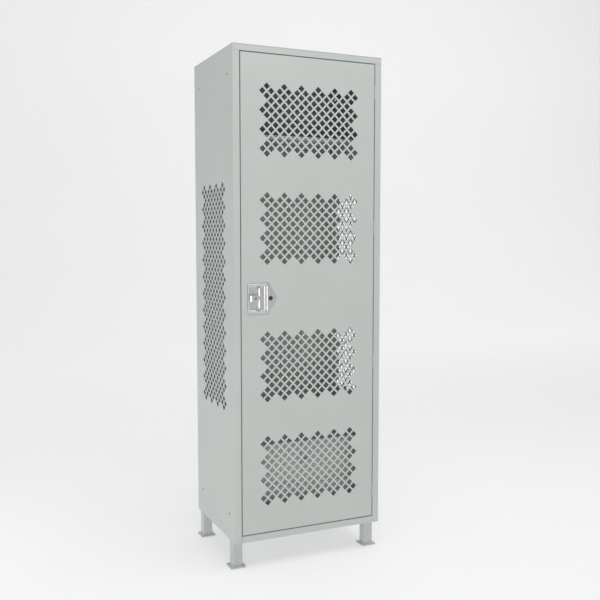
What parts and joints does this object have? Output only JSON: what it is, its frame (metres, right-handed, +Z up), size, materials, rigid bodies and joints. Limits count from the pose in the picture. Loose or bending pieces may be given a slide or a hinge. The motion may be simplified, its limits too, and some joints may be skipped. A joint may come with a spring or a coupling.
{
  "type": "locker cabinet",
  "caption": "Tall steel gear locker on square legs with a perforated hinged door, recessed padlock handle, hat shelf and a lidded foot locker inside.",
  "frame": {"origin": "on the floor, at the middle of the overall footprint", "axes": "+Z up, the door faces -Y, +X to the right as seen from the front"},
  "size_m": [0.6216, 0.4612, 1.9352],
  "materials": {
    "grey_paint": "satin powder coat",
    "stainless": "brushed stainless steel",
    "zinc": "bright zinc plate",
    "black_plastic": "matte",
    "rubber": "matte"
  },
  "bodies": {
    "cabinet": {"left_side_panel": "grey_paint", "right_side_panel": "grey_paint", "back_panel": "grey_paint", "top_panel": "grey_paint", "bottom_panel": "grey_paint", "left_frame_post": "grey_paint", "right_frame_post": "grey_paint", "top_frame_rail": "grey_paint", "bottom_frame_rail": "grey_paint", "leg_front_left": "grey_paint", "leg_front_right": "grey_paint", "leg_rear_left": "grey_paint", "leg_rear_right": "grey_paint", "left_door_strike": "grey_paint", "right_door_strike": "grey_paint", "hat_shelf": "grey_paint", "coat_hook_left": "zinc", "coat_hook_right": "zinc", "hinge_frame_leaf_1": "grey_paint", "hinge_frame_leaf_2": "grey_paint", "hinge_frame_leaf_3": "grey_paint", "hinge_frame_leaf_4": "grey_paint", "hinge_pin_1": "zinc", "hinge_pin_2": "zinc", "hinge_pin_3": "zinc", "hinge_pin_4": "zinc", "footlocker_front": "grey_paint", "footlocker_ledge": "grey_paint", "footlocker_padlock_lug": "zinc", "lid_hinge_ledge_leaf_left": "zinc", "lid_hinge_ledge_leaf_right": "zinc", "lid_hinge_pin_left": "zinc", "lid_hinge_pin_right": "zinc", "latch_keeper_1": "zinc", "latch_keeper_2": "zinc", "latch_keeper_3": "zinc", "door_bumper_1": "rubber", "door_bumper_2": "rubber"},
    "door": {"door_pan": "grey_paint", "door_stiffener": "grey_paint", "hinge_door_leaf_1": "grey_paint", "hinge_door_leaf_2": "grey_paint", "hinge_door_leaf_3": "grey_paint", "hinge_door_leaf_4": "grey_paint", "lock_cup": "stainless", "padlock_staple": "stainless", "lock_hole_plug": "black_plastic", "latch_guide_1": "zinc", "latch_guide_2": "zinc", "latch_guide_3": "zinc"},
    "latch": {"lift_handle": "stainless", "latch_bar": "zinc", "latch_finger_1": "zinc", "latch_finger_2": "zinc", "latch_finger_3": "zinc"},
    "footlocker_lid": {"footlocker_lid": "grey_paint", "lid_hinge_lid_leaf_left": "zinc", "lid_hinge_lid_leaf_right": "zinc", "lid_padlock_lug": "zinc"}
  },
  "joints": [
    {"name": "door_hinge", "type": "hinge", "parent": "cabinet", "child": "door", "pos_m": [0.2766, -0.2276, 1.0214], "axis": [0, 0, 1], "range_deg": [0, 170]},
    {"name": "latch_lift", "type": "slide", "parent": "door", "child": "latch", "axis": [0, 0, 1], "range_m": [0, 0.008]},
    {"name": "footlocker_lid_hinge", "type": "hinge", "parent": "cabinet", "child": "footlocker_lid", "pos_m": [0, 0.1848, 0.4637], "axis": [-1, 0, 0], "range_deg": [0, 95]}
  ]
}
